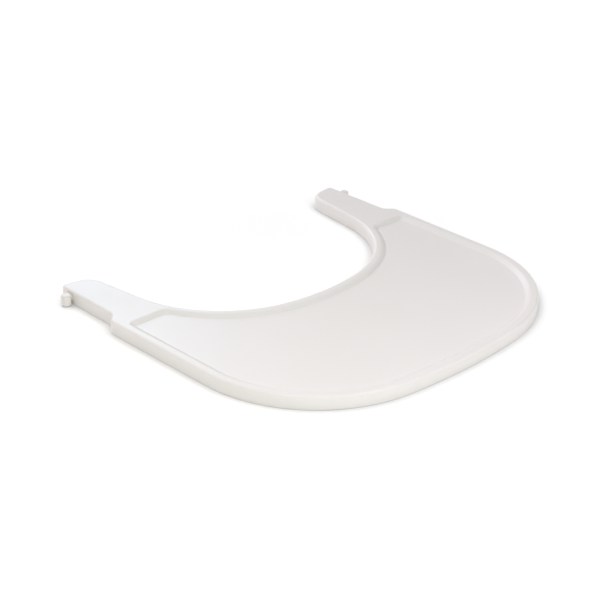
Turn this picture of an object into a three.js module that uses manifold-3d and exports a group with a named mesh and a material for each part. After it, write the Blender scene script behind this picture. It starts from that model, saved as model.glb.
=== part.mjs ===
// Click-on tray for a wooden high chair: a ribbed moulded shell with two arms,
// and in each arm a sprung latch that a finger lever under the arm pulls in.
// Units are millimetres, +X is to the right, +Y runs from the front edge to the arm tips, +Z is up.
import * as THREE from 'three';
import { mergeVertices } from 'three/addons/utils/BufferGeometryUtils.js';
import Module from 'manifold-3d';

const wasm = await Module();
wasm.setup();

// ---- Driving dimensions -------------------------------------------------------------------
// Y is measured from the front edge here, and the whole assembly is centred at the end.
const LENGTH = 450;
const HEIGHT = 17;
const CHORD_ERROR = 0.12; // how far a facet may lie from its true curve
const CURVE_STEP = 18; // largest angle in degrees between two facets of a curve
const CUT = 1; // how far a cutter runs past the face that it cuts

// Outline of the tray in plan
const FRONT_RADIUS = 747;
const CORNER_RADIUS = 165;
const CORNER_X = 70; // centre of the corner arc
const SIDE_FLARE = 0.87; // degrees that the sides open towards the arms
const SHOULDER_RADIUS = 11.6;
const SHOULDER_X = 237.5;
const SHOULDER_Y = 331;
const ARM_OUTER_X = 226;
const TIP_OUTER_RADIUS = 6;
const TIP_INNER_RADIUS = 28;

// Outline of the cut-out for the child
const CUT_APEX_Y = 226.8;
const CUT_RADIUS = 271;
const CUT_CORNER_RADIUS = 149;
const CUT_CORNER_TURN = 12; // degrees from the apex to the corner arc
const ARM_TILT = 7; // degrees that the arms' inner edges spread

// Section of the moulding
const DECK_TOP = 13;
const WALL = 2.6;
const EDGE_ROUND = 3;
const CUT_ROUND = 5.5; // larger rounding along the cut-out and the insides of the arms
const OUTER_RIM = 17; // from the outer edge to the foot of the rim's slope
const INNER_RIM = 16;
const RIM_SLOPE = 8;
const RISER_Y = 310; // foot of the slope up to the arms
const RISER_FILLET = 9; // where that slope meets the rim of the cut-out
const UNDER_MARGIN = 0.5; // keeps the wall's thickness along the slope
const RIB = 1.8;
const RIB_PITCH = 44;
const RIB_CLEAR = 1.5; // ribs stop this far above the lower edge

// Latch bay in each arm, written for the right arm
const BAY_Y = 355.4;
const GAP = 0.3;
const COVER_BOTTOM = 0.4;
const COVER_TOP = 3.2;
const LATCH_TRAVEL = 9;
const SLIDER = { x0: 203, x1: 221, y0: 416, y1: 438.4, z0: 6.6, z1: 13.9 };
const HEAD = { x: 233.2, y: 428.9, r: 6, z0: 0.6, z1: 14.1 };
const NECK = { width: 6, z1: 11.5 };
const HEAD_SLOT = 0.5; // clearance of the head in its slot
const PLUG = { x0: 220, skirtX: 223.4, x1: 225.8, half: 6.2, z0: 0.6, z1: 14.1 };
const SPRING = { y: 431, z: 10.25, r: 2.1, wire: 0.4, turns: 7, x0: 193.6, x1: 213.4 };
const SPRING_BORE = { r: 3, depth: 10.8 };
const SEAT = { x0: 188, x1: 193.2, width: 9, spigot: 1.2, reach: 3 };
const GUIDE = { thick: 2, gap: 0.4, x0: 200, x1: 222 };

// Finger lever
const PIVOT = { x: 205, y: 391, r: 5.5 };
const PEG = { x: 208.5, y: 421, r: 1.5, top: 10.4, play: 0.35, reach: 2.4 };
const LEVER = { z0: 3.6, z1: 6.2, end: 4.5 };
const FINGER = { x: 203, y: 363, width: 11, y0: 360.8, y1: 368.5, z0: 0.7 };
const WINDOW = { x0: 196, x1: 219, y0: 359.6, y1: 372.2 };
const PIN_RADIUS = 2;
const PIN_FIT = 0.3;
const PIN = { z0: COVER_TOP + 0.2, z1: 13 };
const PIN_BOSS = { r: 4, z0: 6.6 };

// Screws and grip pads of each arm cover
const SCREW_PLACES = [[186, 374], [218.2, 392], [189, 404], [206, 443.2]];
const SCREW = { shank: 1.5, head: 2.7, z0: 0.5, z1: 1.7, tip: 9 };
const DRIVE = { reach: 1.1, half: 0.3, depth: 0.7 };
const SCREW_BOSS = { r: 3.4, top: 11 };
const SCREW_FIT = 0.35;
const PADS = {
  front_grip_pad: { x: 186.5, y: 389, w: 8, d: 20 },
  rear_grip_pad: { x: 202, y: 431.5, w: 18, d: 8 },
};
const PAD_TOP = 1.3;
const PAD_ROUND = 2.5;

// ---- Materials ----------------------------------------------------------------------------
function plastic(color, roughness) {
  return new THREE.MeshStandardMaterial({ color, roughness, metalness: 0 });
}
const tray_white = plastic(0xf1f1f0, 0.38);
const latch_white = plastic(0xeae8e4, 0.42);
const cover_white = plastic(0xeceae8, 0.5);
const grip_rubber = plastic(0xc9c8c4, 0.85);
const steel = new THREE.MeshStandardMaterial({ color: 0xb9bcc0, roughness: 0.3, metalness: 1 });

// ---- Solids -------------------------------------------------------------------------------
function solid(geometry) {
  const bare = geometry.clone();
  bare.deleteAttribute('normal');
  bare.deleteAttribute('uv');
  const merged = mergeVertices(bare, 1e-4);
  const vertProperties = new Float32Array(merged.attributes.position.array);
  const triVerts = new Uint32Array(merged.index.array);
  return new wasm.Manifold(new wasm.Mesh({ numProp: 3, vertProperties, triVerts }));
}

function mesh(name, body, material) {
  const { vertProperties, triVerts } = body.getMesh();
  const geometry = new THREE.BufferGeometry();
  geometry.setAttribute('position', new THREE.BufferAttribute(vertProperties, 3));
  geometry.setIndex(new THREE.BufferAttribute(triVerts, 1));
  geometry.computeVertexNormals();
  const result = new THREE.Mesh(geometry, material);
  result.name = name;
  return result;
}

// Box between two corners; the side factor mirrors it to the left arm
function box(x0, y0, z0, x1, y1, z1, side = 1) {
  const geometry = new THREE.BoxGeometry(x1 - x0, y1 - y0, z1 - z0);
  geometry.translate((side * (x0 + x1)) / 2, (y0 + y1) / 2, (z0 + z1) / 2);
  return solid(geometry);
}

// Upright cylinder
function post(x, y, r, z0, z1, sides = 16) {
  const geometry = new THREE.CylinderGeometry(r, r, z1 - z0, sides);
  geometry.rotateX(Math.PI / 2);
  geometry.translate(x, y, (z0 + z1) / 2);
  return solid(geometry);
}

// Cylinder lying along X
function bar(x0, x1, y, z, r, sides = 16) {
  const geometry = new THREE.CylinderGeometry(r, r, Math.abs(x1 - x0), sides);
  geometry.rotateZ(Math.PI / 2);
  geometry.translate((x0 + x1) / 2, y, z);
  return solid(geometry);
}

function plate(points, z0, z1, bevel = {}) {
  const shape = new THREE.Shape(points);
  const depth = z1 - z0;
  const geometry = new THREE.ExtrudeGeometry(shape, { depth, bevelEnabled: false, ...bevel });
  geometry.translate(0, 0, z0);
  return solid(geometry);
}

// ---- Outlines -----------------------------------------------------------------------------
const rad = THREE.MathUtils.degToRad;
const deg = THREE.MathUtils.radToDeg;

function arc(cx, cy, r, from, to) {
  const sweep = Math.abs(to - from);
  const step = Math.min(CURVE_STEP, 2 * deg(Math.acos(1 - CHORD_ERROR / r)));
  const count = Math.max(2, Math.ceil(sweep / step));
  return Array.from({ length: count + 1 }, (_, i) => {
    const angle = rad(from + ((to - from) * i) / count);
    return new THREE.Vector2(cx + r * Math.cos(angle), cy + r * Math.sin(angle));
  });
}

function mirrored(points) {
  return points.map((p) => new THREE.Vector2(-p.x, p.y)).reverse();
}

// Joins a right half, drawn from the front apex to the cut-out's apex, to its mirror image
function symmetric(right) {
  return [...right, ...mirrored(right).slice(1, -1)];
}

const cornerTurn = deg(Math.asin(CORNER_X / (FRONT_RADIUS - CORNER_RADIUS)));
const cornerY = FRONT_RADIUS - (FRONT_RADIUS - CORNER_RADIUS) * Math.cos(rad(cornerTurn));

function frontEdge(inset) {
  return [
    ...arc(0, FRONT_RADIUS, FRONT_RADIUS - inset, -90, -90 + cornerTurn),
    ...arc(CORNER_X, cornerY, CORNER_RADIUS - inset, -90 + cornerTurn, -SIDE_FLARE).slice(1),
  ];
}

function shoulder(inset) {
  const lower = new THREE.Vector2(SHOULDER_X - SHOULDER_RADIUS, SHOULDER_Y);
  const upperX = ARM_OUTER_X + SHOULDER_RADIUS;
  const turn = deg(Math.acos((upperX - lower.x) / (2 * SHOULDER_RADIUS)));
  const upperY = lower.y + 2 * SHOULDER_RADIUS * Math.sin(rad(turn));
  return [
    ...arc(lower.x, lower.y, SHOULDER_RADIUS - inset, -SIDE_FLARE, turn),
    ...arc(upperX, upperY, SHOULDER_RADIUS + inset, 180 + turn, 180).slice(1),
  ];
}

const cutCentreY = CUT_APEX_Y + CUT_RADIUS;
const cutCorner = new THREE.Vector2(
  (CUT_RADIUS - CUT_CORNER_RADIUS) * Math.sin(rad(CUT_CORNER_TURN)),
  cutCentreY - (CUT_RADIUS - CUT_CORNER_RADIUS) * Math.cos(rad(CUT_CORNER_TURN)),
);

// Centre of the large rounding inside each arm's tip: it touches the end and the inner edge
function tipCentre() {
  const y = LENGTH - TIP_INNER_RADIUS;
  const reach = CUT_CORNER_RADIUS + TIP_INNER_RADIUS;
  const along = (y - cutCorner.y + reach * Math.sin(rad(ARM_TILT))) / Math.cos(rad(ARM_TILT));
  const x = cutCorner.x + reach * Math.cos(rad(ARM_TILT)) + along * Math.sin(rad(ARM_TILT));
  return new THREE.Vector2(x, y);
}
const tip = tipCentre();

function armTip(inset, innerInset = inset) {
  const outer = TIP_OUTER_RADIUS - inset;
  const outerX = ARM_OUTER_X - TIP_OUTER_RADIUS;
  return [
    ...arc(outerX, LENGTH - TIP_OUTER_RADIUS, outer, 0, 90),
    ...arc(tip.x, tip.y, TIP_INNER_RADIUS - innerInset, 90, 180 - ARM_TILT),
  ];
}

// Edge of the cut-out from an angle on the corner arc round to the apex
function cutEdge(inset, from) {
  const turn = -90 + CUT_CORNER_TURN;
  return [
    ...arc(cutCorner.x, cutCorner.y, CUT_CORNER_RADIUS + inset, from, turn),
    ...arc(0, cutCentreY, CUT_RADIUS + inset, turn, -90).slice(1),
  ];
}

function trayOutline(inset, cutInset = inset) {
  const right = [
    ...frontEdge(inset),
    ...shoulder(inset),
    ...armTip(inset, cutInset),
    ...cutEdge(cutInset, -ARM_TILT),
  ];
  return symmetric(right);
}

function deckOutline(outerInset, innerInset, riserY) {
  const flare = (riserY - cornerY) * Math.tan(rad(SIDE_FLARE));
  const sideX = CORNER_X + CORNER_RADIUS - outerInset + flare;
  const reach = CUT_CORNER_RADIUS + innerInset + RISER_FILLET;
  const y = riserY - RISER_FILLET;
  const x = cutCorner.x + Math.sqrt(reach ** 2 - (y - cutCorner.y) ** 2);
  const meet = deg(Math.atan2(y - cutCorner.y, x - cutCorner.x));
  const right = [
    ...frontEdge(outerInset),
    new THREE.Vector2(sideX, riserY),
    ...arc(x, y, RISER_FILLET, 90, 180 + meet),
    ...cutEdge(innerInset, meet).slice(1),
  ];
  return symmetric(right);
}

// Inside of the arm behind the latch bay's front wall, at a distance from the arm's outside
function bayOutline(inset, frontY, side) {
  const start = cutCorner.x + (CUT_CORNER_RADIUS + inset) * Math.cos(rad(ARM_TILT));
  const startY = cutCorner.y - (CUT_CORNER_RADIUS + inset) * Math.sin(rad(ARM_TILT));
  const frontX = start + (frontY - startY) * Math.tan(rad(ARM_TILT));
  const right = [
    new THREE.Vector2(frontX, frontY),
    new THREE.Vector2(ARM_OUTER_X - inset, frontY),
    ...armTip(inset),
  ];
  return side > 0 ? right : mirrored(right);
}

// ---- Shell --------------------------------------------------------------------------------
function roundedPlate(outline, radius) {
  const bevel = {
    bevelEnabled: true,
    bevelThickness: radius,
    bevelSize: radius,
    bevelOffset: -radius,
    bevelSegments: 3,
  };
  return plate(outline, -radius, HEIGHT - radius, bevel);
}

// Solid tray with both roundings: the second plate is too wide to touch the outer edge
function blank() {
  const outer = roundedPlate(trayOutline(0), EDGE_ROUND);
  const inner = roundedPlate(trayOutline(-CUT_ROUND, 0), CUT_ROUND);
  const above = box(-LENGTH, -CUT, 0, LENGTH, LENGTH + CUT, HEIGHT + CUT);
  return outer.intersect(inner).intersect(above);
}

// Sunk deck with a slope up to the rims and to the arms, widened and lowered as asked
function deckRecess(margin, drop) {
  const bevel = {
    bevelEnabled: true,
    bevelThickness: HEIGHT - DECK_TOP,
    bevelSize: RIM_SLOPE,
    bevelOffset: 0,
    bevelSegments: 1,
  };
  const outline = deckOutline(OUTER_RIM - margin, INNER_RIM - margin, RISER_Y + margin);
  return plate(outline, HEIGHT - drop, HEIGHT - drop + CUT, bevel);
}

function ribGrid() {
  let ribs = box(-RIB / 2, 0, RIB_CLEAR, RIB / 2, BAY_Y, HEIGHT);
  for (let x = RIB_PITCH; x < SHOULDER_X; x += RIB_PITCH) {
    for (const side of [1, -1]) {
      ribs = ribs.add(box(x - RIB / 2, 0, RIB_CLEAR, x + RIB / 2, BAY_Y, HEIGHT, side));
    }
  }
  const lastRow = BAY_Y - RIB / 2 - GAP;
  for (let y = lastRow; y > 0; y -= RIB_PITCH) {
    const bottom = y === lastRow ? 0 : RIB_CLEAR;
    ribs = ribs.add(box(-LENGTH, y - RIB / 2, bottom, LENGTH, y + RIB / 2, HEIGHT));
  }
  return ribs;
}

// Everything that stands in one latch bay and is moulded with the shell
function bayFittings(side) {
  const roof = HEIGHT - CUT;
  const seatY0 = SPRING.y - SEAT.width / 2;
  const seatY1 = SPRING.y + SEAT.width / 2;
  let fittings = box(SEAT.x0, seatY0, SLIDER.z0, SEAT.x1, seatY1, roof, side);
  const spigotEnd = SEAT.x1 + SEAT.reach;
  fittings = fittings.add(bar(side * SEAT.x0, side * spigotEnd, SPRING.y, SPRING.z, SEAT.spigot));
  const guides = [SLIDER.y0 - GUIDE.gap - GUIDE.thick, SLIDER.y1 + GUIDE.gap];
  for (const y of guides) {
    fittings = fittings.add(box(GUIDE.x0, y, SLIDER.z0, GUIDE.x1, y + GUIDE.thick, roof, side));
  }
  fittings = fittings.add(post(side * PIVOT.x, PIVOT.y, PIN_BOSS.r, PIN_BOSS.z0, roof));
  for (const [x, y] of SCREW_PLACES) {
    fittings = fittings.add(post(side * x, y, SCREW_BOSS.r, COVER_TOP + GAP, roof));
  }
  return fittings;
}

function bayHoles(side) {
  let holes = post(side * PIVOT.x, PIVOT.y, PIN_RADIUS + PIN_FIT, 0, PIN.z1 + GAP);
  for (const [x, y] of SCREW_PLACES) {
    holes = holes.add(post(side * x, y, SCREW.shank + SCREW_FIT, 0, SCREW_BOSS.top, 12));
  }
  const half = HEAD.r + HEAD_SLOT;
  const inside = ARM_OUTER_X - WALL - CUT;
  const outside = ARM_OUTER_X + CUT;
  const top = HEIGHT - WALL;
  return holes.add(box(inside, HEAD.y - half, -CUT, outside, HEAD.y + half, top, side));
}

function trayShell() {
  const roof = HEIGHT - WALL;
  let hollow = plate(trayOutline(WALL), -CUT, roof);
  hollow = hollow.subtract(deckRecess(UNDER_MARGIN, WALL));
  hollow = hollow.subtract(ribGrid());
  for (const side of [1, -1]) {
    hollow = hollow.subtract(bayFittings(side));
  }
  let shell = blank().subtract(deckRecess(0, 0)).subtract(hollow);
  for (const side of [1, -1]) {
    shell = shell.subtract(bayHoles(side));
  }
  return mesh('tray_shell', shell, tray_white);
}

// ---- Pieces of one arm --------------------------------------------------------------------
function armCover(side, name) {
  let cover = plate(bayOutline(WALL + GAP, BAY_Y, side), COVER_BOTTOM, COVER_TOP);
  cover = cover.subtract(box(WINDOW.x0, WINDOW.y0, 0, WINDOW.x1, WINDOW.y1, HEIGHT, side));
  const half = HEAD.r + HEAD_SLOT;
  const notch = PLUG.skirtX - LATCH_TRAVEL - HEAD_SLOT;
  cover = cover.subtract(box(notch, HEAD.y - half, 0, ARM_OUTER_X, HEAD.y + half, HEIGHT, side));
  for (const [x, y] of SCREW_PLACES) {
    cover = cover.subtract(post(side * x, y, SCREW.shank + SCREW_FIT, 0, HEIGHT, 12));
    cover = cover.subtract(post(side * x, y, SCREW.head + SCREW_FIT, 0, SCREW.z1 + GAP));
  }
  for (const pad of Object.values(PADS)) {
    cover = cover.subtract(gripPad(side, pad, GAP, PAD_TOP + GAP));
  }
  return mesh(`${name}_arm_cover`, cover, cover_white);
}

// Rounded rectangle standing on the ground plane, grown by a margin
function gripPad(side, pad, margin, top) {
  const w = pad.w / 2 + margin;
  const d = pad.d / 2 + margin;
  const r = PAD_ROUND + margin;
  const x = side * pad.x;
  const points = [
    ...arc(x + w - r, pad.y + d - r, r, 0, 90),
    ...arc(x - w + r, pad.y + d - r, r, 90, 180),
    ...arc(x - w + r, pad.y - d + r, r, 180, 270),
    ...arc(x + w - r, pad.y - d + r, r, 270, 360),
  ];
  return plate(points, 0, top);
}

// Round latch head with a softened top and bottom
function latchHead(side) {
  const top = HEAD.z1;
  const ease = 2;
  const profile = [
    new THREE.Vector2(0, HEAD.z0),
    new THREE.Vector2(HEAD.r - 1, HEAD.z0),
    new THREE.Vector2(HEAD.r, HEAD.z0 + 1),
    ...arc(HEAD.r - ease, top - ease, ease, 0, 90),
    new THREE.Vector2(0, top),
  ];
  const geometry = new THREE.LatheGeometry(profile, 24);
  geometry.rotateX(Math.PI / 2);
  geometry.translate(side * HEAD.x, HEAD.y, 0);
  return solid(geometry);
}

// Fills the head's slot in the wall, flush with the outside of the arm
function slotPlug(side) {
  const y0 = HEAD.y - PLUG.half;
  const y1 = HEAD.y + PLUG.half;
  const skirt = box(PLUG.skirtX, y0, PLUG.z0, PLUG.x1, y1, PLUG.z1, side);
  return skirt.add(box(PLUG.x0, y0, SLIDER.z0, PLUG.x1, y1, PLUG.z1, side));
}

function latchSlider(side, name) {
  const { x0, x1, y0, y1, z0, z1 } = SLIDER;
  let slider = box(x0, y0, z0, x1, y1, z1, side);
  const neckY0 = HEAD.y - NECK.width / 2;
  const neckY1 = HEAD.y + NECK.width / 2;
  slider = slider.add(box(x1 - CUT, neckY0, z0, HEAD.x, neckY1, NECK.z1, side));
  slider = slider.add(latchHead(side));
  slider = slider.add(slotPlug(side));
  const boreEnd = x0 + SPRING_BORE.depth;
  const bore = bar(side * (x0 - CUT), side * boreEnd, SPRING.y, SPRING.z, SPRING_BORE.r);
  slider = slider.subtract(bore);
  const half = PEG.r + PEG.play;
  const [slotY0, slotY1] = [PEG.y - PEG.reach, PEG.y + PEG.reach];
  slider = slider.subtract(box(PEG.x - half, slotY0, 0, PEG.x + half, slotY1, PEG.top + CUT, side));
  return mesh(`${name}_latch_slider`, slider, latch_white);
}

class SpringPath extends THREE.Curve {
  constructor(side) {
    super();
    this.side = side;
  }

  getPoint(t, target = new THREE.Vector3()) {
    const angle = 2 * Math.PI * SPRING.turns * t;
    const x = this.side * (SPRING.x0 + SPRING.wire + (SPRING.x1 - SPRING.x0 - 2 * SPRING.wire) * t);
    const y = SPRING.y + SPRING.r * Math.cos(angle);
    const z = SPRING.z + SPRING.r * Math.sin(angle);
    return target.set(x, y, z);
  }
}

function latchSpring(side, name) {
  const section = new THREE.Shape(polygon(SPRING.wire, 5));
  const geometry = new THREE.ExtrudeGeometry(section, {
    steps: SPRING.turns * 10,
    extrudePath: new SpringPath(side),
    bevelEnabled: false,
  });
  return mesh(`${name}_latch_spring`, solid(geometry), steel);
}

function polygon(r, sides) {
  return Array.from({ length: sides }, (_, i) => {
    const angle = (2 * Math.PI * i) / sides;
    return new THREE.Vector2(r * Math.cos(angle), r * Math.sin(angle));
  });
}

// Straight bar with round ends between two points
function link(x0, y0, x1, y1, r) {
  const angle = deg(Math.atan2(y1 - y0, x1 - x0));
  const points = [...arc(x1, y1, r, angle - 90, angle + 90), ...arc(x0, y0, r, angle + 90, angle + 270)];
  return plate(points, LEVER.z0, LEVER.z1);
}

function releaseLever(side, name) {
  let lever = link(side * PIVOT.x, PIVOT.y, side * PEG.x, PEG.y, LEVER.end);
  lever = lever.add(link(side * FINGER.x, FINGER.y, side * PIVOT.x, PIVOT.y, LEVER.end));
  lever = lever.add(post(side * PIVOT.x, PIVOT.y, PIVOT.r, LEVER.z0, LEVER.z1, 32));
  lever = lever.add(post(side * PEG.x, PEG.y, PEG.r, LEVER.z0 + CUT, PEG.top));
  const x0 = FINGER.x - FINGER.width / 2;
  const x1 = FINGER.x + FINGER.width / 2;
  lever = lever.add(box(x0, FINGER.y0, FINGER.z0, x1, FINGER.y1, LEVER.z1, side));
  lever = lever.subtract(post(side * PIVOT.x, PIVOT.y, PIN_RADIUS + PIN_FIT, 0, HEIGHT));
  return mesh(`${name}_release_lever`, lever, latch_white);
}

function leverPin(side, name) {
  const pin = post(side * PIVOT.x, PIVOT.y, PIN_RADIUS, PIN.z0, PIN.z1);
  return mesh(`${name}_lever_pin`, pin, steel);
}

// Pan-head screw with a cross recess
function coverScrew(side, name, [x, y], number) {
  const at = side * x;
  let screw = post(at, y, SCREW.head, SCREW.z0, SCREW.z1);
  screw = screw.add(post(at, y, SCREW.shank, SCREW.z1 - DRIVE.half, SCREW.tip, 12));
  const { reach, half, depth } = DRIVE;
  for (const [w, d] of [[reach, half], [half, reach]]) {
    screw = screw.subtract(box(at - w, y - d, 0, at + w, y + d, SCREW.z0 + depth));
  }
  return mesh(`${name}_cover_screw_${number}`, screw, steel);
}

// ---- Assembly -----------------------------------------------------------------------------
const assembly = new THREE.Group();
assembly.position.y = -LENGTH / 2;
assembly.add(trayShell());

for (const [side, name] of [[1, 'right'], [-1, 'left']]) {
  const arm = new THREE.Group();
  arm.add(armCover(side, name));
  arm.add(latchSlider(side, name));
  arm.add(latchSpring(side, name));
  arm.add(releaseLever(side, name));
  arm.add(leverPin(side, name));
  SCREW_PLACES.forEach((place, i) => arm.add(coverScrew(side, name, place, i + 1)));
  for (const [padName, pad] of Object.entries(PADS)) {
    arm.add(mesh(`${name}_${padName}`, gripPad(side, pad, 0, PAD_TOP), grip_rubber));
  }
  assembly.add(arm);
}

const tray = new THREE.Group();
tray.add(assembly);
export default tray;
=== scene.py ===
"""Click-on tray of a wooden high chair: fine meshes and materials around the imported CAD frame.

Lengths are in metres. Y is measured from the tray's front edge while outlines are worked out,
and the finished meshes are moved so that the origin is the centre of the footprint.
"""
import math

import bmesh
import bpy
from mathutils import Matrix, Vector


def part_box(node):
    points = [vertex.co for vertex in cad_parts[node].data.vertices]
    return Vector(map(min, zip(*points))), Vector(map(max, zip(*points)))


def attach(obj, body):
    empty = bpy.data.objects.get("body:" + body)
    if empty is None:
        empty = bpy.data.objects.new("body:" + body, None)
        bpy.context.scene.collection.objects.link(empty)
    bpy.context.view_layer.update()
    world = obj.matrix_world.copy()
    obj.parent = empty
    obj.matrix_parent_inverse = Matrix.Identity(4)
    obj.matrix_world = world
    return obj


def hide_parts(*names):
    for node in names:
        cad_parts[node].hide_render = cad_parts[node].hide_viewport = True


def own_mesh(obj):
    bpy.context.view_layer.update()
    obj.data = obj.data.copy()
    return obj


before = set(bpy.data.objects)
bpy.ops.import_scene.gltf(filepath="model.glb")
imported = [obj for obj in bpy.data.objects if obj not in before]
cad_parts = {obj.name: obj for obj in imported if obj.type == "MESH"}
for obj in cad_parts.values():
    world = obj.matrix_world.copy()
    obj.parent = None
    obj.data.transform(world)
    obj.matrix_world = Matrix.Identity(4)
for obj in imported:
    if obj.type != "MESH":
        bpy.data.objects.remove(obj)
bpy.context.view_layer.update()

# ---- Driving dimensions -------------------------------------------------------------------
MM = 0.001
OVERLAP = 1 * MM  # how far cutters and joined solids run past a face
SHELL_LOW, SHELL_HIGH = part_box("tray_shell")
LENGTH = SHELL_HIGH.y - SHELL_LOW.y
HEIGHT = SHELL_HIGH.z
FRONT_Y = SHELL_LOW.y

# Outline in plan
FRONT_RADIUS = 747 * MM
CORNER_RADIUS = 165 * MM
CORNER_X = 70 * MM
SIDE_FLARE = math.radians(0.87)
SHOULDER_RADIUS = 11.6 * MM
SHOULDER_X = SHELL_HIGH.x
SHOULDER_Y = 331 * MM
ARM_OUTER_X = 226 * MM
TIP_OUTER_RADIUS = 6 * MM
TIP_INNER_RADIUS = 28 * MM

# Cut-out for the child
CUT_APEX_Y = 226.8 * MM
CUT_RADIUS = 271 * MM
CUT_CORNER_RADIUS = 149 * MM
CUT_CORNER_TURN = math.radians(12)
ARM_TILT = math.radians(7)

# Section of the moulding
DECK_TOP = 13 * MM
WALL = 2.6 * MM
EDGE_ROUND = 3 * MM
CUT_ROUND = 5.5 * MM
DRAFT = 0.25 * MM
LOWER_ROUND = 0.7 * MM
OUTER_RIM = 17 * MM
INNER_RIM = 16 * MM
RIM_SLOPE = 8 * MM
FOOT_FILLET = 0.4 * MM
SLOPE_STRAIGHT = 0.3  # share of the outer slope's section that is straight; the rest is S-shaped
BEAD_STRAIGHT = 0.4  # the same for the other sides, where the rest is round
RISER_Y = 310 * MM
RISER_OUTER_FILLET = 2 * MM
RISER_INNER_FILLET = 9 * MM
UNDER_MARGIN = 0.5 * MM
RIB = 1.8 * MM
RIB_PITCH = 44 * MM
RIB_CLEAR = 1.5 * MM
POCKET_ROUND = 2.5 * MM
POCKET_DRAFT = 0.25 * MM
LEAST_CORNER = 0.25 * MM  # corner radius in plan where an eased block is drawn in most
EJECTOR = {"r": 4 * MM, "height": 0.15 * MM, "corner": 1 * MM}

# Latch bay, written for the right arm
BAY_Y = 355.4 * MM
GAP = 0.3 * MM
COVER = {"z0": 0.4 * MM, "z1": 3.2 * MM, "ease": 0.4 * MM}
TRAVEL = 9 * MM
SLIDER_X = (203 * MM, 221 * MM)
SLIDER_Y = (416 * MM, 438.4 * MM)
SLIDER_Z = (6.6 * MM, 13.9 * MM)
HEAD = {"x": 233.2 * MM, "y": 428.9 * MM, "r": 6 * MM, "z0": 0.6 * MM, "z1": 14.1 * MM}
HEAD_EASE = 2 * MM
SLIDER_EASE = 0.5 * MM
NECK = {"half": 3 * MM, "z1": 11.5 * MM}
HEAD_SLOT = 0.5 * MM
PLUG = {"x0": 223.4 * MM, "x1": 225.8 * MM, "half": 6.2 * MM, "z0": 0.6 * MM, "z1": 14.1 * MM}
SPRING = {"y": 431 * MM, "z": 10.25 * MM, "r": 2.1 * MM, "wire": 0.4 * MM, "turns": 7}
SPRING_X = (193.6 * MM, 213.4 * MM)
BORE = {"r": 3 * MM, "end": 213.8 * MM}
SEAT = {"x0": 188 * MM, "x1": 193.2 * MM, "half": 4.5 * MM, "spigot": 1.2 * MM, "reach": 3 * MM}
GUIDE = {"thick": 2 * MM, "gap": 0.4 * MM, "x0": 200 * MM, "x1": 222 * MM}

# Finger lever
PIVOT = {"x": 205 * MM, "y": 391 * MM, "r": 5.5 * MM}
PEG = {"x": 208.5 * MM, "y": 421 * MM, "r": 1.5 * MM, "top": 10.4 * MM}
PEG_SLOT = {"half": 1.85 * MM, "reach": 2.4 * MM, "round": 0.9}  # round: share of the half width
LEVER = {"z0": 3.6 * MM, "z1": 6.2 * MM, "end": 4.5 * MM, "ease": 0.35 * MM}
FINGER = {"x": 203 * MM, "y": 363 * MM, "half": 5.5 * MM}
FINGER_Y = (360.8 * MM, 368.5 * MM)
FINGER_Z = 0.7 * MM
FINGER_EASE = 0.6 * MM
FINGER_GROOVES = 4
FINGER_GROOVE_END = 1 * MM
WINDOW = {"x0": 196 * MM, "x1": 219 * MM, "y0": 359.6 * MM, "y1": 372.2 * MM}
WINDOW_ROUND = 1 * MM
WINDOW_FLARE = {"mouth": 1.2 * MM, "edge": 0.8 * MM, "rise": 0.8 * MM}
PIN = {"r": 2 * MM, "fit": 0.3 * MM, "z0": 3.4 * MM, "z1": 13 * MM}
PIN_GROOVE = 0.25 * MM
PIN_BOSS = {"r": 4 * MM, "z0": 6.6 * MM}

# Screws and grip pads of each arm cover
SCREW_PLACES = [(186 * MM, 374 * MM), (218.2 * MM, 392 * MM), (189 * MM, 404 * MM), (206 * MM, 443.2 * MM)]
SCREW = {"r": 1.5 * MM, "core": 1.15 * MM, "head": 2.7 * MM}
SCREW_Z = {"face": 0.5 * MM, "seat": 1.7 * MM, "tip": 9 * MM}
SCREW_DOME = {"flat": 0.62, "height": 0.7, "steps": 6}  # flat and height: shares of the head
SCREW_MOUTH = 0.5 * MM
THREAD = {"pitch": 0.9 * MM, "steps": 8, "sides": 20}
# Share of the radius at the thread's tip, and how steeply its crest falls off
THREAD_TIP, THREAD_SHARPNESS = 0.25, 5
DRIVE = {"reach": 1.1 * MM, "half": 0.3 * MM, "depth": 0.7 * MM, "taper": 0.7}
SCREW_BOSS = {"r": 3.4 * MM, "top": 11 * MM}
SCREW_FIT = 0.35 * MM
PADS = {
    "front_grip_pad": {"x": 186.5 * MM, "y": 389 * MM, "w": 4 * MM, "d": 10 * MM},
    "rear_grip_pad": {"x": 202 * MM, "y": 431.5 * MM, "w": 9 * MM, "d": 4 * MM},
}
PAD_TOP = 1.3 * MM
PAD_ROUND = 2.5 * MM
PAD_EASE = 0.35 * MM
GROOVE_PITCH = 2.4 * MM
GROOVE_REACH = LENGTH / 10
# Half widths of a groove's mouth and root, its start below the pad and its depth into it
GROOVE = {"mouth": 0.42 * MM, "root": 0.07 * MM, "below": 0.07 * MM, "depth": 0.35 * MM}
SIDES = (("right", 1), ("left", -1))

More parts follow.
